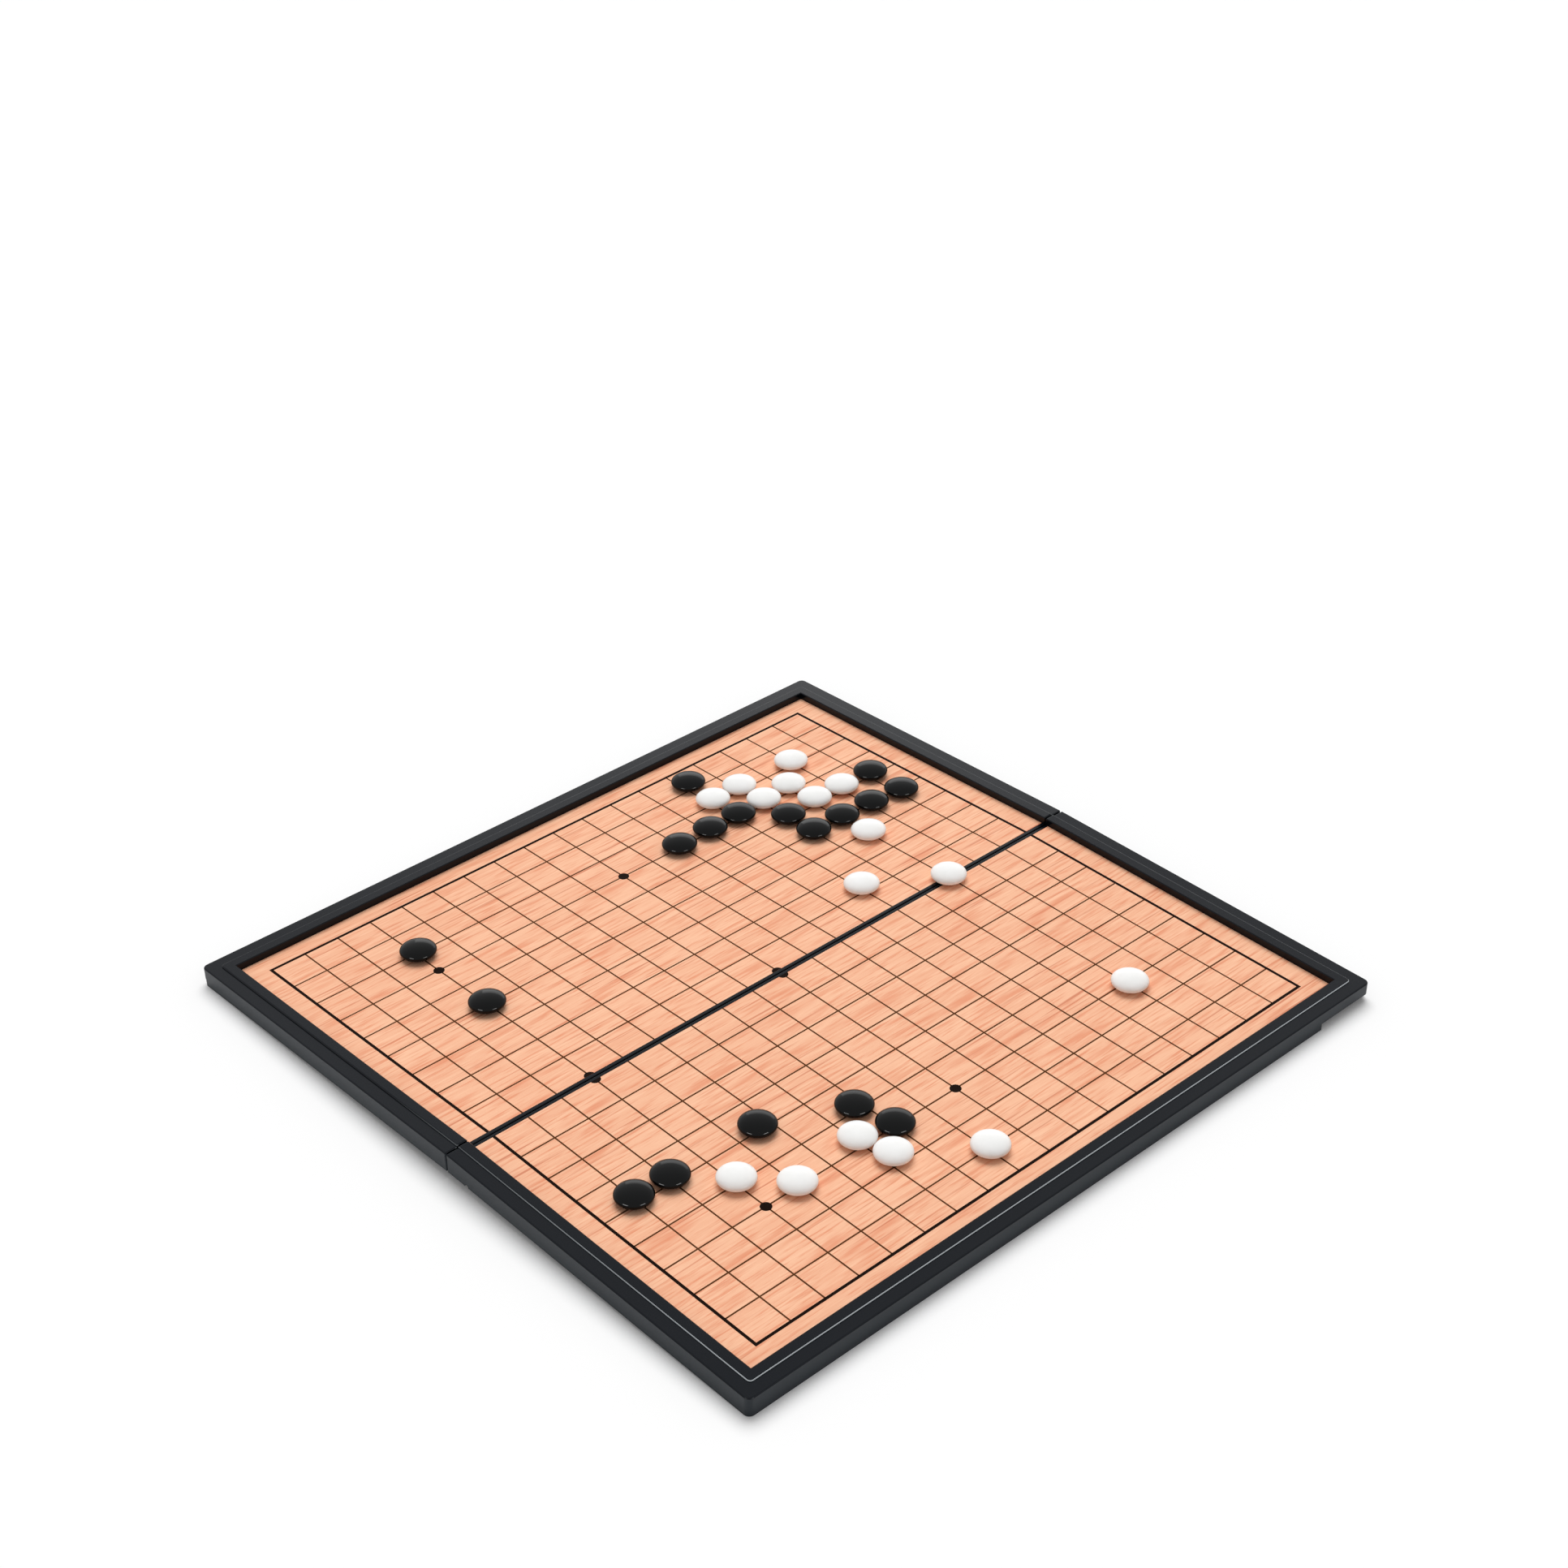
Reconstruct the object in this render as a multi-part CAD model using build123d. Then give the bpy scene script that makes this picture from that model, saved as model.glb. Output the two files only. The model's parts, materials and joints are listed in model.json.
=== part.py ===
from build123d import *

import os
from math import asin, atan2, degrees, hypot, sqrt

# A folding go board: two equal half boards of moulded plastic turn about steel pins under the seam, so that
# their undersides meet and their playing faces end up outside. Each half holds a steel plate, a printed
# wood-grain sheet and its grid, and magnetic stones lie on top.
# Sizes are in millimetres. A half board is drawn open flat, with the hinge axis along X through the origin
# and the half towards -Y. It is then tilted until it stands on its long outer wall and its hinge knuckles.

# Whole board
board_side = 288.0
parting_gap = 0.3
corner_radius = 2.2
cut_overrun = 1.0

# Walls, rim and deck of a half board
wall_thickness = 2.0
wall_depth = 5.0
deck_thickness = 1.3
rim_width = 8.9
rim_height = 2.8
rim_edge_radius = 0.5
rim_lip_chamfer = 0.3
ridge_width = 4.1
ridge_step = 0.6
ridge_corner_radius = 1.5
ridge_edge_radius = 0.55
seam_rib_width = 1.25
seam_edge_radius = 0.5
seam_rib_edge_radius = 0.3

# Notches in the bottom edges of the walls
finger_notch_length = 26.0
finger_notch_height = 2.6
vent_notch_radius = 0.9
vent_notch_from_seam = 10.2

# Hinge
knuckle_radius = 2.7
knuckle_length = 12.0
knuckle_gap = 0.3
knuckle_clearance = 0.35
knuckles_per_hinge = 4
hinge_from_end = 25.5
pin_radius = 1.0
pin_clearance = 0.05
pin_end_wall = 1.5
pin_end_gap = 0.3

# Steel plate, printed sheet and printed grid
plate_thickness = 0.4
sheet_thickness = 0.3
pocket_clearance = 0.1
ink_thickness = 0.06
line_count = 19
print_margin = 7.8
grid_seam_offset = 1.23
line_width = 0.55
border_width = 1.1
star_diameter = 4.0
star_line_shares = (3, 9, 15)

# Magnets that hold the folded board shut
closing_magnet_radius = 3.0
closing_magnet_thickness = 2.0
closing_magnet_from_end = 40.0
closing_boss_wall = 1.2
magnet_clearance = 0.05

# Stones
stone_play = 0.7
stone_thickness = 4.9
stone_edge_radius = 1.5
stone_base_cut = 0.3
stone_magnet_margin = 0.5
stone_magnet_thickness = 1.5

# Where the stones lie: column and row, in grid pitches from the left column and from the far row
black_stone_shares = [
    (13.15, 0.80), (13.05, 3.00), (12.03, 3.00), (10.92, 3.03), (13.97, 4.00), (13.95, 5.03),
    (14.98, 5.05), (16.03, 5.10), (17.07, 5.20), (17.10, 3.95), (3.03, 2.10), (2.95, 5.08),
    (4.62, 12.93), (6.74, 13.93), (6.99, 15.03), (2.02, 12.88), (0.99, 12.85),
]
white_stone_shares = [
    (15.93, 1.97), (15.05, 2.83), (14.04, 1.92), (13.05, 1.95), (14.04, 2.93), (15.07, 3.86),
    (16.05, 3.90), (14.95, 6.10), (13.03, 7.83), (14.95, 9.00), (14.97, 15.15), (6.02, 14.78),
    (6.24, 15.73), (8.04, 17.05), (3.05, 13.96), (3.97, 14.98),
]

# Reaches from the middle of the board, and levels above the hinge axis
half_side = board_side / 2
half_gap = parting_gap / 2
rim_reach = half_side - rim_width
ridge_reach = rim_reach + ridge_width
wall_reach = half_side - wall_thickness
rib_reach = half_gap + seam_rib_width
wall_bottom = half_gap
print_level = wall_bottom + wall_depth
rim_level = print_level + rim_height
land_level = rim_level - ridge_step
plate_top = print_level - sheet_thickness
pocket_floor = plate_top - plate_thickness
deck_underside = pocket_floor - deck_thickness
ink_level = print_level + ink_thickness

# The slope at which the long wall's bottom edge and the knuckles reach the table together
tilt = degrees(asin(knuckle_radius / hypot(half_side, half_gap)) + atan2(half_gap, half_side))

# Grid
middle_line = (line_count - 1) // 2
grid_reach = rim_reach - print_margin
pitch = (grid_reach - grid_seam_offset) / middle_line

# Hinge slots, counted outwards from the middle
hinge_outer = half_side - hinge_from_end
hinge_inner = hinge_outer - knuckles_per_hinge * knuckle_length
bore_radius = pin_radius + pin_clearance

# Closing magnets
closing_boss_radius = closing_magnet_radius + closing_boss_wall
closing_magnet_reach = wall_reach - closing_boss_radius
closing_magnet_x = half_side - closing_magnet_from_end

# Stone: two shallow caps, a rounded edge that runs into both, and a small flat foot
stone_radius = (pitch - stone_play) / 2
stone_half_height = (stone_thickness + stone_base_cut) / 2
stone_waist = stone_half_height - stone_base_cut
stone_cap_square = (stone_radius - stone_edge_radius) ** 2 + stone_half_height**2 - stone_edge_radius**2
stone_cap_radius = stone_cap_square / (2 * (stone_half_height - stone_edge_radius))
stone_foot_radius = sqrt(stone_cap_radius**2 - (stone_cap_radius - stone_base_cut) ** 2)
stone_magnet_radius = stone_foot_radius - stone_magnet_margin

# Places of the two halves as they stand on the table
near_place = Pos(0, 0, knuckle_radius) * Rot(tilt, 0, 0)
far_place = Rot(0, 0, 180) * near_place
standing = (Align.CENTER, Align.CENTER, Align.MIN)


def block(x_span, y_span, z_span):
    """Box between two places along each axis."""
    spans = (x_span, y_span, z_span)
    middle = [(low + high) / 2 for low, high in spans]
    return Pos(*middle) * Box(*[high - low for low, high in spans])


def half_plan(reach, corner):
    """Plan of a half board that reaches this far from the middle, with its two outer corners rounded."""
    plan = Pos(0, -(reach + half_gap) / 2) * Rectangle(2 * reach, reach - half_gap)
    return fillet(plan.vertices().group_by(Axis.Y)[0], corner)


def raised(plan, low, high):
    """Plan raised from one level to another."""
    return extrude(Pos(0, 0, low) * plan, high - low)


def barrel(middle_x, radius, length):
    """Cylinder on the hinge axis."""
    return Pos(middle_x, 0, 0) * Rot(0, 90, 0) * Cylinder(radius, length)


def slot_middles(own):
    """Middles of the knuckle slots along X: those of this half, or those of the other half."""
    middles = []
    for side in (1, -1):
        for slot in range(knuckles_per_hinge):
            is_own = (slot % 2 == 0) == (side == 1)
            if is_own == own:
                middles.append(side * (hinge_inner + (2 * slot + 1) * knuckle_length / 2))
    return middles


def rimmed_body():
    """Solid outer form: rounded walls, outer land of the rim, and the ridge that is a step higher."""
    body = raised(half_plan(half_side, corner_radius), wall_bottom, land_level)
    top = body.faces().sort_by(Axis.Z)[-1]
    body = fillet(top.edges().sort_by(Axis.Y)[:-1], rim_edge_radius)
    seam_face = body.faces().sort_by(Axis.Y)[-1]
    body = fillet(seam_face.edges().sort_by(Axis.Z)[1:], seam_edge_radius)
    ridge = raised(half_plan(ridge_reach, ridge_corner_radius), wall_bottom, rim_level)
    ridge = fillet(ridge.faces().sort_by(Axis.Z)[-1].edges(), ridge_edge_radius)
    return body + ridge


def play_recess():
    """Room inside the rim: open at the seam, with a chamfered lip, and deeper under the sheet and plate."""
    across = (-rim_reach, rim_reach)
    recess = block(across, (-rim_reach, cut_overrun), (print_level, rim_level + cut_overrun))
    lip_plan = Pos(0, (cut_overrun - rim_reach) / 2) * Rectangle(2 * rim_reach, rim_reach + cut_overrun)
    recess += extrude(Pos(0, 0, rim_level - rim_lip_chamfer) * lip_plan, rim_lip_chamfer, taper=-45)
    return recess + block(across, (-rim_reach, -rib_reach), (pocket_floor, print_level))


def underside_hollow():
    """Storage hollow under the deck, and the hollow that runs on up inside the rim."""
    mouth = wall_bottom - cut_overrun
    across = (-wall_reach, wall_reach)
    hollow = block(across, (-wall_reach, -rib_reach), (mouth, deck_underside))
    rim_inside = block(across, (-wall_reach, -rib_reach), (mouth, land_level - wall_thickness))
    core_reach = rim_reach + wall_thickness
    core = block((-core_reach, core_reach), (-core_reach, cut_overrun), (mouth, rim_level))
    return hollow + (rim_inside - core)


def wall_notches():
    """Finger notch by one end of the long wall, and a small vent notch near the seam in one end wall."""
    below = wall_bottom - cut_overrun
    finger = block(
        (half_side - finger_notch_length, half_side + cut_overrun),
        (-half_side - cut_overrun, -wall_reach),
        (below, wall_bottom + finger_notch_height),
    )
    vent_middle = Pos(-half_side + wall_thickness / 2, -vent_notch_from_seam, wall_bottom)
    vent = vent_middle * Rot(0, 90, 0) * Cylinder(vent_notch_radius, wall_thickness + cut_overrun)
    return finger + vent


def closing_magnet_middles():
    """Middles of the closing magnets' faces, on the level of the wall's bottom edge."""
    return [Pos(side * closing_magnet_x, -closing_magnet_reach, wall_bottom) for side in (-1, 1)]


def upright(radius, height):
    """Cylinder that stands on its own origin."""
    return Cylinder(radius, height, align=standing)


def half_shell():
    """Moulded half board with its hinge knuckles and magnet bosses."""
    shell = rimmed_body() - play_recess() - underside_hollow() - wall_notches()
    rib_edges = shell.edges().filter_by(Axis.X).filter_by_position(Axis.Z, print_level, print_level)
    shell = fillet(rib_edges.sort_by(Axis.Y)[-1], seam_rib_edge_radius)
    boss_side = 2 * closing_boss_radius
    boss = Box(boss_side, boss_side, deck_underside - wall_bottom, align=standing)
    for middle in closing_magnet_middles():
        shell += middle * boss
        shell -= middle * upright(closing_magnet_radius + magnet_clearance, closing_magnet_thickness)
    for middle_x in slot_middles(own=False):
        shell -= barrel(middle_x, knuckle_radius + knuckle_clearance, knuckle_length + knuckle_gap)
    length = knuckle_length - knuckle_gap
    for middle_x in slot_middles(own=True):
        along = (middle_x - length / 2, middle_x + length / 2)
        shell += block(along, (-knuckle_radius, -half_gap), (wall_bottom, deck_underside))
        shell += barrel(middle_x, knuckle_radius, length)
    bore_length = hinge_outer - pin_end_wall - hinge_inner + cut_overrun
    bore_middle = (hinge_inner - cut_overrun + hinge_outer - pin_end_wall) / 2
    for side in (1, -1):
        shell -= barrel(side * bore_middle, bore_radius, bore_length)
    return shell


def hinge_pin(side):
    """Steel pin of one hinge, shut in by the outermost knuckle's end wall."""
    inner = hinge_inner + pin_end_gap
    outer = hinge_outer - pin_end_wall - pin_end_gap
    return barrel(side * (inner + outer) / 2, pin_radius, outer - inner)


def pocket_layer(low, high):
    """Flat layer that fills the pocket of a half board, with a little room round it."""
    reach = rim_reach - pocket_clearance
    return block((-reach, reach), (-reach, -rib_reach - pocket_clearance), (low, high))


def grid_print():
    """Printed lines, border and star points, as one thin layer on the sheet."""
    sheet_edge = rib_reach + pocket_clearance
    border_reach = middle_line * pitch + border_width / 2
    far_row = grid_reach + border_width / 2
    lines = Sketch()
    for column in range(line_count):
        width = border_width if column in (0, line_count - 1) else line_width
        middle = Pos((column - middle_line) * pitch, -(far_row + sheet_edge) / 2)
        lines += middle * Rectangle(width, far_row - sheet_edge)
    for row in range(1, middle_line + 1):
        width = border_width if row == middle_line else line_width
        lines += Pos(0, -(grid_seam_offset + row * pitch)) * Rectangle(2 * border_reach, width)
    for column in star_line_shares:
        for row in star_line_shares:
            if row >= middle_line:
                out = grid_seam_offset + (row - middle_line) * pitch
                lines += Pos((column - middle_line) * pitch, -out) * Circle(star_diameter / 2)
    sheet = Pos(0, -(far_row + sheet_edge) / 2) * Rectangle(2 * border_reach, far_row - sheet_edge)
    return raised(lines & sheet, print_level, ink_level)


def closing_magnets():
    """The two disc magnets of a half board, flush with its bottom edge."""
    magnet = upright(closing_magnet_radius, closing_magnet_thickness)
    return [middle * magnet for middle in closing_magnet_middles()]


def stone():
    """Stone body and the disc magnet set flush in its foot, standing on the origin."""
    foot_turn = degrees(asin(stone_foot_radius / stone_cap_radius))
    cap_turn = degrees(atan2(stone_radius - stone_edge_radius, stone_cap_radius - stone_half_height))
    cap_drop = stone_cap_radius - stone_half_height
    lower = CenterArc((0, stone_waist + cap_drop), stone_cap_radius, foot_turn - 90, cap_turn - foot_turn)
    edge_middle = (stone_radius - stone_edge_radius, stone_waist)
    edge = CenterArc(edge_middle, stone_edge_radius, cap_turn - 90, 180 - 2 * cap_turn)
    upper = CenterArc((0, stone_waist - cap_drop), stone_cap_radius, 90 - cap_turn, cap_turn)
    foot = Polyline((0, stone_thickness), (0, 0), (stone_foot_radius, 0))
    outline = make_face([lower, edge, upper, foot])
    body = revolve(Plane.XZ * outline, Axis.Z)
    body -= upright(stone_magnet_radius + magnet_clearance, stone_magnet_thickness)
    return [body, upright(stone_magnet_radius, stone_magnet_thickness)]


def stone_place(column, row):
    """Place of a stone on the half that carries it. A stone on the seam goes with the near half."""
    x = (column - middle_line) * pitch
    rows_out = abs(row - middle_line)
    out = rows_out * pitch + grid_seam_offset if rows_out else 0
    if row < middle_line:
        return far_place * Pos(-x, -out, ink_level)
    return near_place * Pos(x, -out, ink_level)


def save(node, place, solids):
    """Write one node's solids at their place."""
    placed = [solid for piece in solids for solid in (place * piece).solids()]
    export_step(Compound(placed), f"parts/{node}.step")


os.makedirs("parts", exist_ok=True)

half_pieces = {
    "half_shell": [half_shell()],
    "steel_plate": [pocket_layer(pocket_floor, plate_top)],
    "play_sheet": [pocket_layer(plate_top, print_level)],
    "grid_print": [grid_print()],
    "closing_magnets": closing_magnets(),
}
for half, place in (("near", near_place), ("far", far_place)):
    for piece, solids in half_pieces.items():
        save(f"{half}_{piece}", place, solids)

for name, side in (("left", -1), ("right", 1)):
    save(f"{name}_hinge_pin", Pos(0, 0, knuckle_radius), [hinge_pin(side)])

stone_solids = stone()
for colour, shares in (("black", black_stone_shares), ("white", white_stone_shares)):
    for number, (column, row) in enumerate(shares, 1):
        save(f"{colour}_stone_{number:02d}", stone_place(column, row), stone_solids)
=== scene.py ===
"""Folding go board with magnetic stones: finishes, stones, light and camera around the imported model."""

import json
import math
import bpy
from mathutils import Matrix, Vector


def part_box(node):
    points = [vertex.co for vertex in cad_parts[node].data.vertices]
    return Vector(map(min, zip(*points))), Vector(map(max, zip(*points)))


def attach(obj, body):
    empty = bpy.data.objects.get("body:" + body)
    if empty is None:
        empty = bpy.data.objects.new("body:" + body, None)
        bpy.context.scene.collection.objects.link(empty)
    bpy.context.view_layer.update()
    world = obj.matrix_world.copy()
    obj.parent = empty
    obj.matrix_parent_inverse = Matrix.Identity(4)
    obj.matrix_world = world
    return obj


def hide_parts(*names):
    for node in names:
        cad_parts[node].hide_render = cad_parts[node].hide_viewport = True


bl_info = {
    "name": "Folding Go Board",
    "version": (1, 0, 0),
    "blender": (4, 5, 0),
    "location": "View3D > Sidebar > Go Board",
    "description": "Dresses the packed folding go board with its finishes, stones and stage",
    "category": "Object",
}

import bpy
from mathutils import Matrix, Vector

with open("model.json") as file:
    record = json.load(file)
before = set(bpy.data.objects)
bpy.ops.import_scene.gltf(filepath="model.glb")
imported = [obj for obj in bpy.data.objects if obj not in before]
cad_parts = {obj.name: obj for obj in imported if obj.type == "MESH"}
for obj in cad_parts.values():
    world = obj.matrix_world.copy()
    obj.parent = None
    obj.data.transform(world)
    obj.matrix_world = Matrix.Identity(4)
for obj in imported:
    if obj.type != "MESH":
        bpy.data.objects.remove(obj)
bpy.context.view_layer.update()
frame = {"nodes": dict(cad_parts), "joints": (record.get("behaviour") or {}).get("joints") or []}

MM = 0.001
UP = Vector((0, 0, 1))
HALVES = ("near", "far")
STONE_COLOURS = ("black", "white")

# The border is nine lines from the middle of the grid, and the star points lie six lines apart.
BORDER_LINES = 9
STAR_LINES = 6

STONE_SEGMENTS = 64
STONE_RINGS = 40
# A face of the stone's foot looks straight down, so its normal's Z is below this.
FOOT_NORMAL = -0.999
# Faces that meet at less than this angle are shaded as one.
SMOOTH_ANGLE = math.radians(30)

# Most values of a noise lie in this range.
NOISE_RANGE = {"From Min": 0.3, "From Max": 0.7}
# The colour sockets of a Mix node share their names with its other sockets, so they go by number.
MIX_SHARE, MIX_FROM, MIX_TO, MIX_RESULT = 0, 6, 7, 2
PLASTIC_IOR = 1.5
WHITE = (1, 1, 1, 1)

# Lamps and camera, in metres. The camera's turn is in degrees.
KEY_PLACE = (0.4, 0.45, 1.05)
KEY_ANGLE = math.radians(48)
LEFT_STRIP_PLACE = (-1.1, -0.1, 0.6)
RIGHT_STRIP_PLACE = (0.02, -1.1, 0.6)
STRIP = {"shape": "RECTANGLE", "size": 0.5, "size_y": 0.2}
PANEL_PLACE = (1.15, 0.95, 0.5)
PANEL = {"shape": "RECTANGLE", "size": 1.4, "size_y": 0.5}
CAMERA_PLACE = (-0.503196, -0.564293, 0.566609)
CAMERA_TURN = (57.5276, 0.9377, -42.5211)
CAMERA = {
    "sensor_width": 36.0,
    "sensor_fit": "HORIZONTAL",
    "lens": 61.8753,
    "clip_start": 0.01,
    "clip_end": 100,
}


def linear(code):
    """Linear colour of an sRGB hex code."""
    shares = [int(code[i : i + 2], 16) / 255 for i in (1, 3, 5)]
    return tuple(s / 12.92 if s <= 0.04045 else ((s + 0.055) / 1.055) ** 2.4 for s in shares)


def colour(name, code, description):
    """Colour property whose default is an sRGB hex code."""
    return bpy.props.FloatVectorProperty(
        name=name, description=description, subtype="COLOR", size=3, min=0, max=1, default=linear(code)
    )


def length(name, millimetres, description):
    """Length property whose default is given in millimetres."""
    return bpy.props.FloatProperty(
        name=name,
        description=description,
        subtype="DISTANCE",
        unit="LENGTH",
        min=0,
        default=millimetres * MM,
    )


def power(name, watts, description):
    """Lamp power property, in watts."""
    return bpy.props.FloatProperty(name=name, description=description, unit="POWER", min=0, default=watts)


def strength(name, share, description):
    """Light strength property, where 1 is white."""
    return bpy.props.FloatProperty(
        name=name, description=description, subtype="FACTOR", min=0, max=1, default=share
    )


class BoardFinish(bpy.types.PropertyGroup):
    """Colours and sizes of the half boards' plastic and of the printed sheets"""

    rim_black: colour("Rim black", "#070c13", "Moulded plastic of the two half boards")
    # Painted reflection: the outer walls are the same plastic as the rim, drawn in a lighter tone that
    # stands for the floor and lamps they mirror.
    painted_wall_reflection: colour("Rim wall", "#2f3439", "Outer wall, which keeps the matt texture of the mould")
    wall_reach: length("Wall reach", 143.0, "Distance from the middle past which a side is outer wall")
    # Painted highlight: the crest colour is a light tone painted on the ridge's rounded edge, standing for
    # the lamps' glint there. The burnish named in these settings is this painted highlight, and the settings
    # below set where it lies and how wide it is.
    painted_crest_highlight: colour("Rim crest", "#cdd3d7", "Crest of the rim's ridge, burnished by handling")
    highlight_full: length("Crest full", 139.0, "Distance before the seam at which the burnish is full")
    highlight_gone: length("Crest gone", 35.0, "Distance behind the seam at which the burnish is gone")
    crest_reach: length("Crest reach", 139.2, "Distance from the middle to the outer edge of the ridge")
    highlight_width: length("Crest width", 1.2, "Width of the burnished crest")
    wood_ground: colour("Wood ground", "#f4b895", "Ground tone of the printed wood grain")
    wood_light: colour("Wood light", "#fcc7a4", "Pale fibres of the printed wood grain")
    wood_streak: colour("Wood streak", "#e69470", "Pink-brown fibres of the printed wood grain")
    wood_vein: colour("Wood vein", "#cd7555", "Few long red-brown veins of the printed wood grain")
    ink_line: colour("Line ink", "#553319", "Inner lines of the grid")
    ink_border: colour("Border ink", "#160b06", "Border line and star points of the grid")
    fibre_width: length("Fibre width", 1.1, "Width of the fine printed fibres")
    fibre_length: length("Fibre length", 19.0, "Length of the fine printed fibres")
    grain_turn: bpy.props.FloatProperty(
        name="Grain turn",
        description="Turn of the wood grain from the seam",
        subtype="ANGLE",
        default=math.radians(4.5),
    )
    line_pitch: length("Line pitch", 14.0078, "Distance between neighbouring grid lines")
    seam_offset: length("Seam offset", 1.33, "Distance from the seam to a tilted half's own middle line")
    border_width: length("Border width", 1.1, "Width of the border line")
    star_diameter: length("Star diameter", 4.0, "Diameter of the star points")


class StoneFinish(bpy.types.PropertyGroup):
    """Colours and sizes of the stones and the steel pieces"""

    black: colour("Black stone", "#050607", "Gloss plastic of the black stones")
    white: colour("White stone", "#f8f8f6", "Gloss plastic of the white stones")
    steel: colour("Steel", "#9a9c9e", "Steel pieces, and plating of the closing magnets")
    diameter: length("Stone diameter", 13.308, "Diameter of a stone at its waist")
    thickness: length("Stone thickness", 4.9, "Height of a stone on its foot")
    base_cut: length("Foot depth", 0.3, "Depth by which the foot is cut flat")
    foot_margin: length("Foot margin", 0.5, "Plastic ring round the magnet's seat in the foot")
    magnet_inset: length("Magnet inset", 0.08, "Depth of the magnet's seat in the foot")


class StageLight(bpy.types.PropertyGroup):
    """Floor and light around the board"""

    floor_side: length("Floor side", 8000.0, "Side of the floor")
    floor_white: colour("Floor", "#f6f6f6", "Pale floor")
    key_strength: power("Key strength", 2.35, "Broad soft key from above and behind, per square metre")
    side_power: power("Side power", 6.5, "Each of the two strip lamps that gloss mirrors beside the board")
    back_power: power("Back power", 2.6, "Low panel that gloss mirrors behind the board")
    fill_strength: strength("Fill strength", 0.38, "Strength of the even light from all around")
    floor_lift: strength("Floor lift", 0.06, "What brings the open floor to white in the picture")


def put(tree, kind, inputs=None, **settings):
    """Adds a node with its settings. An input is a value, or a socket to link it to."""
    made = tree.nodes.new(kind)
    for name, value in settings.items():
        setattr(made, name, value)
    for name, value in (inputs or {}).items():
        if isinstance(value, bpy.types.NodeSocket):
            tree.links.new(value, made.inputs[name])
        else:
            made.inputs[name].default_value = value
    return made


def surface(name, inputs):
    """New material with a Principled shader. inputs(tree) gives what its sockets get."""
    made = bpy.data.materials.new(name)
    made.use_nodes = True
    tree = made.node_tree
    tree.nodes.clear()
    shader = put(tree, "ShaderNodeBsdfPrincipled", inputs(tree))
    put(tree, "ShaderNodeOutputMaterial", {"Surface": shader.outputs[0]})
    return made


def wear(obj, material):
    """Gives an object this material in place of those it has."""
    obj.data.materials.clear()
    obj.data.materials.append(material)


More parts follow.
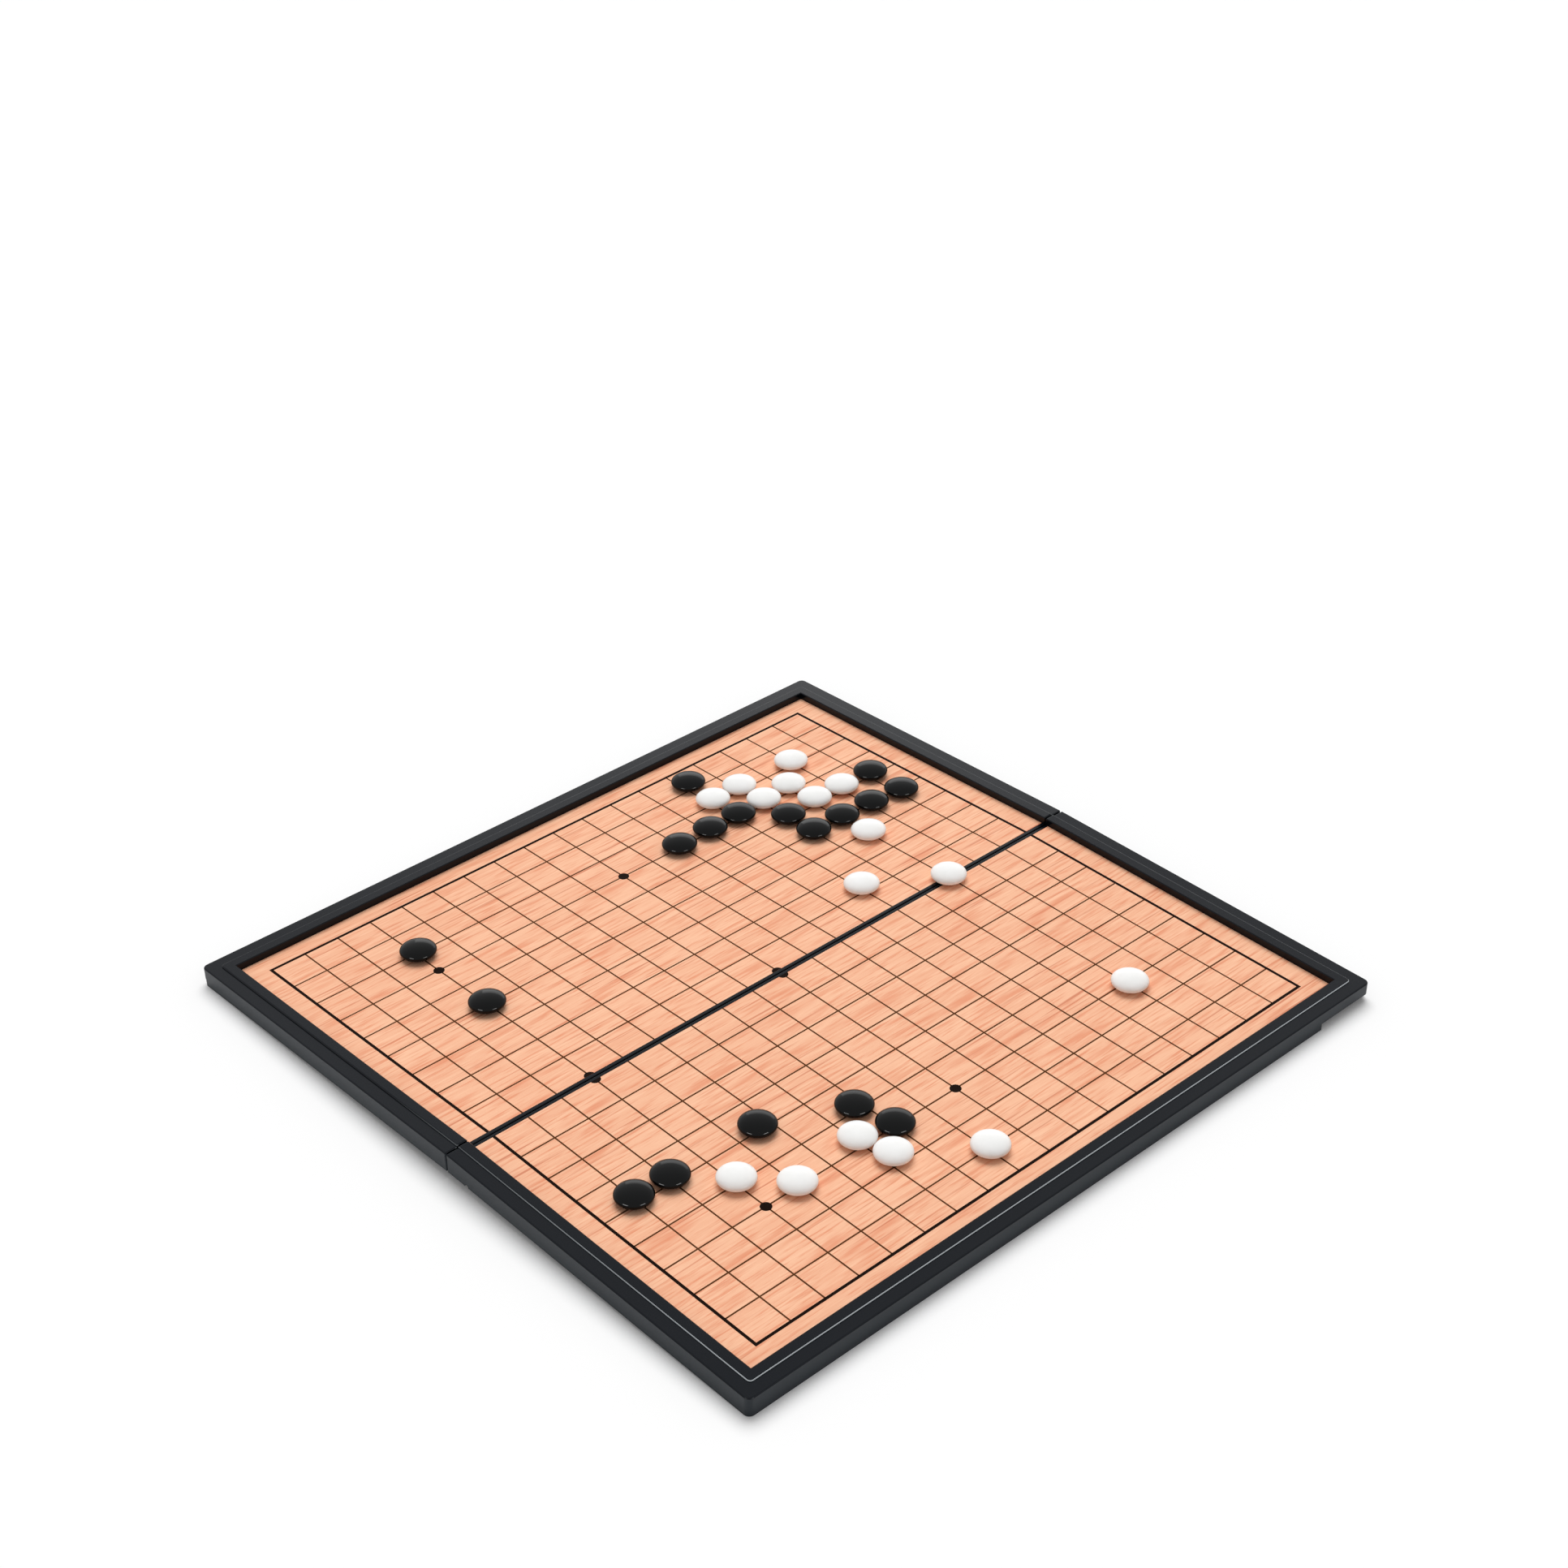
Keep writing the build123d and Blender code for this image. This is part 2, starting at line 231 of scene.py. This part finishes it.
def moulded_abs(finish):
    """Black ABS from a spark-eroded mould: satin, with an even grain; the outer walls are drawn lighter as
    painted reflection, and the ridge's crest carries a painted highlight.
    """
    # The mould's grain is finer than a tenth of a millimetre. It is drawn coarser, so that it shows.
    grain_size = 0.7 * MM
    grain_depth = 0.05 * MM
    cloud_size = 45 * MM
    glossiest, dullest = 0.19, 0.27
    # How far a face looks up: not at all on a wall, and partly on the rounded edge of the ridge.
    wall_up, wall_within = 0.0, 0.25
    edge_up, edge_within = 0.5, 0.3

    def inputs(tree):
        coordinates = put(tree, "ShaderNodeTexCoord").outputs
        place = coordinates["Object"]
        at = put(tree, "ShaderNodeSeparateXYZ", {0: place}).outputs
        facing = put(tree, "ShaderNodeSeparateXYZ", {0: coordinates["Normal"]}).outputs
        reach_x = put(tree, "ShaderNodeMath", {0: at["X"]}, operation="ABSOLUTE").outputs[0]
        reach_y = put(tree, "ShaderNodeMath", {0: at["Y"]}, operation="ABSOLUTE").outputs[0]
        reach = put(tree, "ShaderNodeMath", {0: reach_x, 1: reach_y}, operation="MAXIMUM").outputs[0]
        past = {0: reach, 1: finish.wall_reach}
        outside = put(tree, "ShaderNodeMath", past, operation="GREATER_THAN").outputs[0]
        steep = {0: facing["Z"], 1: wall_up, 2: wall_within}
        upright = put(tree, "ShaderNodeMath", steep, operation="COMPARE").outputs[0]
        # Painted reflection: upright faces past the wall reach take the lighter wall tone.
        wall_reflection_mask = put(tree, "ShaderNodeMath", {0: outside, 1: upright}, operation="MULTIPLY").outputs[0]
        sides = {MIX_SHARE: wall_reflection_mask, MIX_FROM: (*finish.rim_black, 1), MIX_TO: (*finish.painted_wall_reflection, 1)}
        toned = put(tree, "ShaderNodeMix", sides, data_type="RGBA").outputs[MIX_RESULT]
        # Painted highlight: the rounded outer edge of the ridge takes the light crest tone.
        ridge = {0: reach, 1: finish.crest_reach, 2: finish.highlight_width / 2}
        on_ridge = put(tree, "ShaderNodeMath", ridge, operation="COMPARE").outputs[0]
        rounded = {0: facing["Z"], 1: edge_up, 2: edge_within}
        on_edge = put(tree, "ShaderNodeMath", rounded, operation="COMPARE").outputs[0]
        crest = put(tree, "ShaderNodeMath", {0: on_ridge, 1: on_edge}, operation="MULTIPLY").outputs[0]
        # The painted highlight is full on the long side with the notch and fades out along the ends.
        fading = {"Value": at["Y"], "From Min": -finish.highlight_full, "From Max": finish.highlight_gone}
        highlight_fade = put(tree, "ShaderNodeMapRange", {**fading, "To Min": 1.0, "To Max": 0.0}).outputs[0]
        painted_highlight = put(tree, "ShaderNodeMath", {0: crest, 1: highlight_fade}, operation="MULTIPLY").outputs[0]
        tones = {MIX_SHARE: painted_highlight, MIX_FROM: toned, MIX_TO: (*finish.painted_crest_highlight, 1)}
        fine = {"Vector": place, "Scale": 1 / grain_size, "Detail": 2.0}
        grain = put(tree, "ShaderNodeTexNoise", fine).outputs[0]
        broad = {"Vector": place, "Scale": 1 / cloud_size, "Detail": 3.0}
        cloud = put(tree, "ShaderNodeTexNoise", broad).outputs[0]
        satin = {**NOISE_RANGE, "Value": cloud, "To Min": glossiest, "To Max": dullest}
        bump = {"Height": grain, "Strength": 0.12, "Distance": grain_depth}
        return {
            "Base Color": put(tree, "ShaderNodeMix", tones, data_type="RGBA").outputs[MIX_RESULT],
            "Roughness": put(tree, "ShaderNodeMapRange", satin).outputs[0],
            "Normal": put(tree, "ShaderNodeBump", bump).outputs[0],
            "IOR": PLASTIC_IOR,
            "Specular IOR Level": 0.14,
        }

    return surface("moulded_black_abs", inputs)


def printed_film(finish):
    """PVC film with a printed wood grain: short pale and pink fibres, a few long veins, and a satin face."""
    light, streak, vein = finish.wood_light, finish.wood_streak, finish.wood_vein
    bands = {"long": 110 * MM, "wide": 9 * MM, "detail": 2.0}
    fibres = {"long": finish.fibre_length, "wide": finish.fibre_width, "detail": 3.0}
    ribbons = {"long": 38 * MM, "wide": 4.5 * MM, "detail": 2.0}
    veins = {"long": 60 * MM, "wide": 1.4 * MM, "detail": 1.0}
    # Each layer's noise begins at start. It shows from low on, and at high it covers the most.
    layers = (
        {**bands, "start": 3.1, "low": 0.4, "high": 0.64, "most": 0.5, "tone": light},
        {**fibres, "start": 7.7, "low": 0.48, "high": 0.66, "most": 0.8, "tone": light},
        {**fibres, "start": 1.3, "low": 0.48, "high": 0.7, "most": 0.85, "tone": streak},
        {**ribbons, "start": 9.4, "low": 0.52, "high": 0.74, "most": 0.75, "tone": streak},
        {**veins, "start": 5.2, "low": 0.62, "high": 0.76, "most": 0.75, "tone": vein},
    )

    def inputs(tree):
        place = put(tree, "ShaderNodeTexCoord").outputs["Object"]
        toned = (*finish.wood_ground, 1)
        for layer in layers:
            along = {
                "Vector": place,
                "Location": (layer["start"], layer["start"], 0),
                "Rotation": (0, 0, finish.grain_turn),
                "Scale": (1 / layer["long"], 1 / layer["wide"], 0),
            }
            stretched = put(tree, "ShaderNodeMapping", along).outputs[0]
            fibre = {"Vector": stretched, "Scale": 1.0, "Detail": layer["detail"], "Roughness": 0.6}
            noise = put(tree, "ShaderNodeTexNoise", fibre).outputs[0]
            shown = {
                "Value": noise,
                "From Min": layer["low"],
                "From Max": layer["high"],
                "To Min": 0.0,
                "To Max": layer["most"],
            }
            share = put(tree, "ShaderNodeMapRange", shown, interpolation_type="SMOOTHSTEP").outputs[0]
            tones = {MIX_SHARE: share, MIX_FROM: toned, MIX_TO: (*layer["tone"], 1)}
            toned = put(tree, "ShaderNodeMix", tones, data_type="RGBA").outputs[MIX_RESULT]
        return {"Base Color": toned, "Roughness": 0.6, "IOR": PLASTIC_IOR, "Specular IOR Level": 0.15}

    return surface("printed_wood_film", inputs)


def grid_ink(finish):
    """Screen-printing ink: brown on the inner lines, near black on the border and the star points."""
    # Shares of the border's width and the star's diameter, over a half to reach past the printed edge.
    border_share, star_share = 0.6, 0.52
    border_from = BORDER_LINES * finish.line_pitch - finish.border_width * border_share
    star_reach = finish.star_diameter * star_share
    half_step = STAR_LINES / 2 * finish.line_pitch
    speck_size = 1.5 * MM
    smoothest, roughest = 0.5, 0.65

    def inputs(tree):
        place = put(tree, "ShaderNodeTexCoord").outputs["Object"]
        at = put(tree, "ShaderNodeSeparateXYZ", {0: place}).outputs
        reach_x = put(tree, "ShaderNodeMath", {0: at["X"]}, operation="ABSOLUTE").outputs[0]
        from_seam = put(tree, "ShaderNodeMath", {0: at["Y"]}, operation="ABSOLUTE").outputs[0]
        middle = {0: from_seam, 1: finish.seam_offset}
        reach_y = put(tree, "ShaderNodeMath", middle, operation="SUBTRACT").outputs[0]
        reach = put(tree, "ShaderNodeMath", {0: reach_x, 1: reach_y}, operation="MAXIMUM").outputs[0]
        edge = {0: reach, 1: border_from}
        on_border = put(tree, "ShaderNodeMath", edge, operation="GREATER_THAN").outputs[0]
        # Each reach is wrapped to the nearest star point.
        step_x = {0: reach_x, 1: half_step, 2: -half_step}
        step_y = {0: reach_y, 1: half_step, 2: -half_step}
        star_x = put(tree, "ShaderNodeMath", step_x, operation="WRAP").outputs[0]
        star_y = put(tree, "ShaderNodeMath", step_y, operation="WRAP").outputs[0]
        to_star = put(tree, "ShaderNodeCombineXYZ", {0: star_x, 1: star_y}).outputs[0]
        from_star = put(tree, "ShaderNodeVectorMath", {0: to_star}, operation="LENGTH").outputs["Value"]
        dot = {0: from_star, 1: star_reach}
        on_star = put(tree, "ShaderNodeMath", dot, operation="LESS_THAN").outputs[0]
        dark = put(tree, "ShaderNodeMath", {0: on_border, 1: on_star}, operation="MAXIMUM").outputs[0]
        tones = {MIX_SHARE: dark, MIX_FROM: (*finish.ink_line, 1), MIX_TO: (*finish.ink_border, 1)}
        specks = {"Vector": place, "Scale": 1 / speck_size, "Detail": 2.0}
        speck = put(tree, "ShaderNodeTexNoise", specks).outputs[0]
        matt = {**NOISE_RANGE, "Value": speck, "To Min": smoothest, "To Max": roughest}
        return {
            "Base Color": put(tree, "ShaderNodeMix", tones, data_type="RGBA").outputs[MIX_RESULT],
            "Roughness": put(tree, "ShaderNodeMapRange", matt).outputs[0],
            "IOR": PLASTIC_IOR,
            "Specular IOR Level": 0.03,
        }

    return surface("screen_printed_ink", inputs)


def gloss_stone(name, tone, roughness, translucence):
    """Injection-moulded gloss melamine, buffed: a clear highlight over a faint waviness of the surface."""
    wave_size = 4 * MM
    wave_depth = 0.1 * MM
    smoothest, roughest = roughness * 0.85, roughness * 1.2
    darkest = 0.96

    def inputs(tree):
        place = put(tree, "ShaderNodeTexCoord").outputs["Object"]
        waves = {"Vector": place, "Scale": 1 / wave_size, "Detail": 2.0}
        wave = put(tree, "ShaderNodeTexNoise", waves).outputs[0]
        buffed = {**NOISE_RANGE, "Value": wave, "To Min": smoothest, "To Max": roughest}
        shading = {**NOISE_RANGE, "Value": wave, "To Min": darkest, "To Max": 1.0}
        shade = put(tree, "ShaderNodeMapRange", shading).outputs[0]
        tones = {MIX_SHARE: 1.0, MIX_FROM: (*tone, 1), MIX_TO: shade}
        body = put(tree, "ShaderNodeMix", tones, data_type="RGBA", blend_type="MULTIPLY")
        bump = {"Height": wave, "Strength": 0.03, "Distance": wave_depth}
        return {
            "Base Color": body.outputs[MIX_RESULT],
            "Roughness": put(tree, "ShaderNodeMapRange", buffed).outputs[0],
            "Normal": put(tree, "ShaderNodeBump", bump).outputs[0],
            "IOR": PLASTIC_IOR,
            "Specular IOR Level": 0.13,
            "Subsurface Weight": translucence,
            "Subsurface Scale": 3 * MM,
            "Subsurface Radius": (1, 1, 1),
        }

    return surface(name, inputs)


def plain_steel(name, tone, roughness):
    """Bright rolled or plated steel: fine lines along X from the rolls, and a dull grey shine."""
    # The rolls leave lines finer than a tenth of a millimetre. They are drawn coarser, so that they show.
    line_length, line_width = 20 * MM, 0.3 * MM
    line_depth = 0.02 * MM
    brightest, dullest = roughness * 0.8, roughness * 1.25

    def inputs(tree):
        place = put(tree, "ShaderNodeTexCoord").outputs["Object"]
        along = {"Vector": place, "Scale": (1 / line_length, 1 / line_width, 1 / line_width)}
        drawn = put(tree, "ShaderNodeMapping", along).outputs[0]
        lines = put(tree, "ShaderNodeTexNoise", {"Vector": drawn, "Scale": 1.0, "Detail": 3.0}).outputs[0]
        shine = {**NOISE_RANGE, "Value": lines, "To Min": brightest, "To Max": dullest}
        bump = {"Height": lines, "Strength": 0.08, "Distance": line_depth}
        return {
            "Base Color": (*tone, 1),
            "Metallic": 1.0,
            "Roughness": put(tree, "ShaderNodeMapRange", shine).outputs[0],
            "Normal": put(tree, "ShaderNodeBump", bump).outputs[0],
        }

    return surface(name, inputs)


def settle():
    """Leaves every object unselected and none active."""
    bpy.ops.object.select_all(action="DESELECT")
    bpy.context.view_layer.objects.active = None


def select_faces(obj, wanted):
    """Selects the faces of a mesh that wanted(face) names, and nothing else. Called in edit mode."""
    bpy.ops.object.mode_set(mode="OBJECT")
    for vertex in obj.data.vertices:
        vertex.select = False
    for edge in obj.data.edges:
        edge.select = False
    for face in obj.data.polygons:
        face.select = wanted(face)
    bpy.ops.object.mode_set(mode="EDIT")
    bpy.ops.mesh.select_mode(type="FACE")


class GOBOARD_OT_half_shells(bpy.types.Operator):
    """Gives the two moulded half boards their satin black plastic"""

    bl_idname = "go_board.half_shells"
    bl_label = "Half shells"

    def execute(self, context):
        plastic = moulded_abs(context.scene.board_finish)
        for half in HALVES:
            wear(frame["nodes"][f"{half}_half_shell"], plastic)
        return {"FINISHED"}


class GOBOARD_OT_playing_face(bpy.types.Operator):
    """Gives the printed sheets their wood grain and the grid its inks"""

    bl_idname = "go_board.playing_face"
    bl_label = "Playing face"

    def execute(self, context):
        finish = context.scene.board_finish
        film, ink = printed_film(finish), grid_ink(finish)
        for half in HALVES:
            wear(frame["nodes"][f"{half}_play_sheet"], film)
            wear(frame["nodes"][f"{half}_grid_print"], ink)
        return {"FINISHED"}


class GOBOARD_OT_hardware(bpy.types.Operator):
    """Gives the hinge pins, steel plates and closing magnets their metal"""

    bl_idname = "go_board.hardware"
    bl_label = "Hinge pins, plates and magnets"

    def execute(self, context):
        tone = context.scene.stone_finish.steel
        sheet_steel = plain_steel("rolled_sheet_steel", tone, roughness=0.38)
        wire_steel = plain_steel("drawn_steel_wire", tone, roughness=0.3)
        plating = plain_steel("nickel_plated_magnet", tone, roughness=0.25)
        for half in HALVES:
            wear(frame["nodes"][f"{half}_steel_plate"], sheet_steel)
            wear(frame["nodes"][f"{half}_closing_magnets"], plating)
        for side in ("left", "right"):
            wear(frame["nodes"][f"{side}_hinge_pin"], wire_steel)
        return {"FINISHED"}


class GOBOARD_OT_stones(bpy.types.Operator):
    """Models one double-convex stone with the magnet's seat in its foot, and copies it to every place"""

    bl_idname = "go_board.stones"
    bl_label = "Stones"

    def model_stone(self, finish):
        """One stone standing on the origin."""
        radius = finish.diameter / 2
        half_height = (finish.thickness + finish.base_cut) / 2
        waist = half_height - finish.base_cut
        settle()
        bpy.ops.mesh.primitive_uv_sphere_add(
            segments=STONE_SEGMENTS, ring_count=STONE_RINGS, radius=radius, location=(0, 0, 0)
        )
        stone = bpy.context.object
        bpy.ops.object.mode_set(mode="EDIT")
        bpy.ops.mesh.select_all(action="SELECT")
        bpy.ops.transform.resize(value=(1, 1, half_height / radius))
        bpy.ops.mesh.bisect(plane_co=(0, 0, -waist), plane_no=UP, use_fill=True, clear_inner=True)
        select_faces(stone, lambda face: face.normal.z < FOOT_NORMAL)
        bpy.ops.mesh.inset(thickness=finish.foot_margin, use_boundary=True)
        bpy.ops.mesh.extrude_region_move(TRANSFORM_OT_translate={"value": (0, 0, finish.magnet_inset)})
        bpy.ops.mesh.select_all(action="SELECT")
        bpy.ops.transform.translate(value=(0, 0, waist))
        bpy.ops.object.mode_set(mode="OBJECT")
        bpy.ops.object.shade_smooth_by_angle(angle=SMOOTH_ANGLE)
        return stone

    def execute(self, context):
        finish = context.scene.stone_finish
        gloss = {
            "black": gloss_stone("gloss_black_melamine", finish.black, roughness=0.1, translucence=0.0),
            "white": gloss_stone("gloss_white_melamine", finish.white, roughness=0.22, translucence=0.6),
        }
        model = self.model_stone(finish)
        lifts = {joint["child"]: Vector(joint["axis"]) for joint in frame["joints"]}
        for node in sorted(frame["nodes"]):
            shade = node.split("_")[0]
            if shade not in STONE_COLOURS:
                continue
            settle()
            model.select_set(True)
            context.view_layer.objects.active = model
            bpy.ops.object.duplicate(linked=False)
            stone = context.object
            stone.name = node.replace("_stone_", "_gloss_stone_")
            stone.data.name = stone.name
            wear(stone, gloss[shade])
            turn = UP.rotation_difference(lifts[node]).to_matrix().to_4x4()
            low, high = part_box(node)
            foot = (low + high) / 2 - lifts[node].normalized() * (finish.thickness / 2)
            stone.matrix_world = Matrix.Translation(foot) @ turn
            bpy.ops.object.transform_apply(location=True, rotation=True, scale=True)
            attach(stone, node)
            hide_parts(node)
        bpy.data.objects.remove(model)
        return {"FINISHED"}


class GOBOARD_OT_stage(bpy.types.Operator):
    """Makes the pale floor, the soft light and the camera"""

    bl_idname = "go_board.stage"
    bl_label = "Stage"

    def seen(self, tree):
        """One where the camera looks, straight, in a mirror or through glass, and nought for other light."""
        path = put(tree, "ShaderNodeLightPath").outputs
        mirrored = {0: path["Is Camera Ray"], 1: path["Is Glossy Ray"]}
        looks = put(tree, "ShaderNodeMath", mirrored, operation="MAXIMUM").outputs[0]
        through = {0: looks, 1: path["Is Transmission Ray"]}
        return put(tree, "ShaderNodeMath", through, operation="MAXIMUM").outputs[0]

    def floor(self, light):
        """Pale floor that keeps the board's shadow and is white where nothing shades it."""
        settle()
        bpy.ops.mesh.primitive_plane_add(size=light.floor_side, location=(0, 0, 0))
        floor = bpy.context.object
        floor.name = "floor"
        made = bpy.data.materials.new("pale_floor")
        made.use_nodes = True
        tree = made.node_tree
        tree.nodes.clear()
        lifted = {"Value": self.seen(tree), "To Min": 0.0, "To Max": light.floor_lift}
        lift = put(tree, "ShaderNodeMapRange", lifted).outputs[0]
        glow = put(tree, "ShaderNodeEmission", {"Color": WHITE, "Strength": lift})
        matt = put(tree, "ShaderNodeBsdfDiffuse", {"Color": (*light.floor_white, 1)})
        both = put(tree, "ShaderNodeAddShader", {0: matt.outputs[0], 1: glow.outputs[0]})
        put(tree, "ShaderNodeOutputMaterial", {"Surface": both.outputs[0]})
        wear(floor, made)

    def world(self, light):
        """Even light from all around; white where the camera or a reflection sees it."""
        world = bpy.data.worlds.new("studio")
        bpy.context.scene.world = world
        world.use_nodes = True
        tree = world.node_tree
        tree.nodes.clear()
        levels = {"Value": self.seen(tree), "To Min": light.fill_strength, "To Max": 1.0}
        level = put(tree, "ShaderNodeMapRange", levels).outputs[0]
        back = put(tree, "ShaderNodeBackground", {"Color": WHITE, "Strength": level})
        put(tree, "ShaderNodeOutputWorld", {"Surface": back.outputs[0]})

    def lamp(self, name, kind, place, energy, mirrored, **shape):
        """Soft lamp that points at the board. It either lights the board or is mirrored in its gloss."""
        data = bpy.data.lights.new(name, kind)
        data.energy = energy
        for setting, value in shape.items():
            setattr(data, setting, value)
        made = bpy.data.objects.new(name, data)
        bpy.context.scene.collection.objects.link(made)
        made.location = place
        made.rotation_euler = (-Vector(place)).to_track_quat("-Z", "Y").to_euler()
        made.visible_glossy = mirrored
        made.visible_diffuse = not mirrored

    def camera(self):
        """Camera at the photograph's viewing angle."""
        data = bpy.data.cameras.new("camera")
        for setting, value in CAMERA.items():
            setattr(data, setting, value)
        made = bpy.data.objects.new("camera", data)
        bpy.context.scene.collection.objects.link(made)
        made.location = CAMERA_PLACE
        made.rotation_euler = [math.radians(turn) for turn in CAMERA_TURN]
        bpy.context.scene.camera = made

    def execute(self, context):
        light = context.scene.stage_light
        self.floor(light)
        self.world(light)
        self.lamp("key", "SUN", KEY_PLACE, light.key_strength, mirrored=False, angle=KEY_ANGLE)
        self.lamp("left_strip", "AREA", LEFT_STRIP_PLACE, light.side_power, mirrored=True, **STRIP)
        self.lamp("right_strip", "AREA", RIGHT_STRIP_PLACE, light.side_power, mirrored=True, **STRIP)
        self.lamp("back_panel", "AREA", PANEL_PLACE, light.back_power, mirrored=True, **PANEL)
        self.camera()
        context.scene.view_settings.view_transform = "Standard"
        return {"FINISHED"}


class GOBOARD_PT_panel(bpy.types.Panel):
    """Finishes and operators of the folding go board"""

    bl_idname = "GOBOARD_PT_panel"
    bl_label = "Folding go board"
    bl_space_type = "VIEW_3D"
    bl_region_type = "UI"
    bl_category = "Go Board"

    def draw(self, context):
        for operator in OPERATORS:
            self.layout.operator(operator.bl_idname)
        for name, group in SETTINGS.items():
            box = self.layout.box()
            box.label(text=name.replace("_", " ").capitalize())
            for entry in group.__annotations__:
                box.prop(getattr(context.scene, name), entry)


OPERATORS = (
    GOBOARD_OT_half_shells,
    GOBOARD_OT_playing_face,
    GOBOARD_OT_hardware,
    GOBOARD_OT_stones,
    GOBOARD_OT_stage,
)
SETTINGS = {"board_finish": BoardFinish, "stone_finish": StoneFinish, "stage_light": StageLight}


def register():
    for made in (*SETTINGS.values(), *OPERATORS, GOBOARD_PT_panel):
        bpy.utils.register_class(made)
    for name, group in SETTINGS.items():
        setattr(bpy.types.Scene, name, bpy.props.PointerProperty(type=group))


def unregister():
    for name in SETTINGS:
        delattr(bpy.types.Scene, name)
    for made in (GOBOARD_PT_panel, *reversed(OPERATORS), *reversed(SETTINGS.values())):
        bpy.utils.unregister_class(made)


def main():
    register()
    bpy.ops.go_board.half_shells()
    bpy.ops.go_board.playing_face()
    bpy.ops.go_board.hardware()
    bpy.ops.go_board.stones()
    bpy.ops.go_board.stage()


if __name__ == "__main__":
    main()
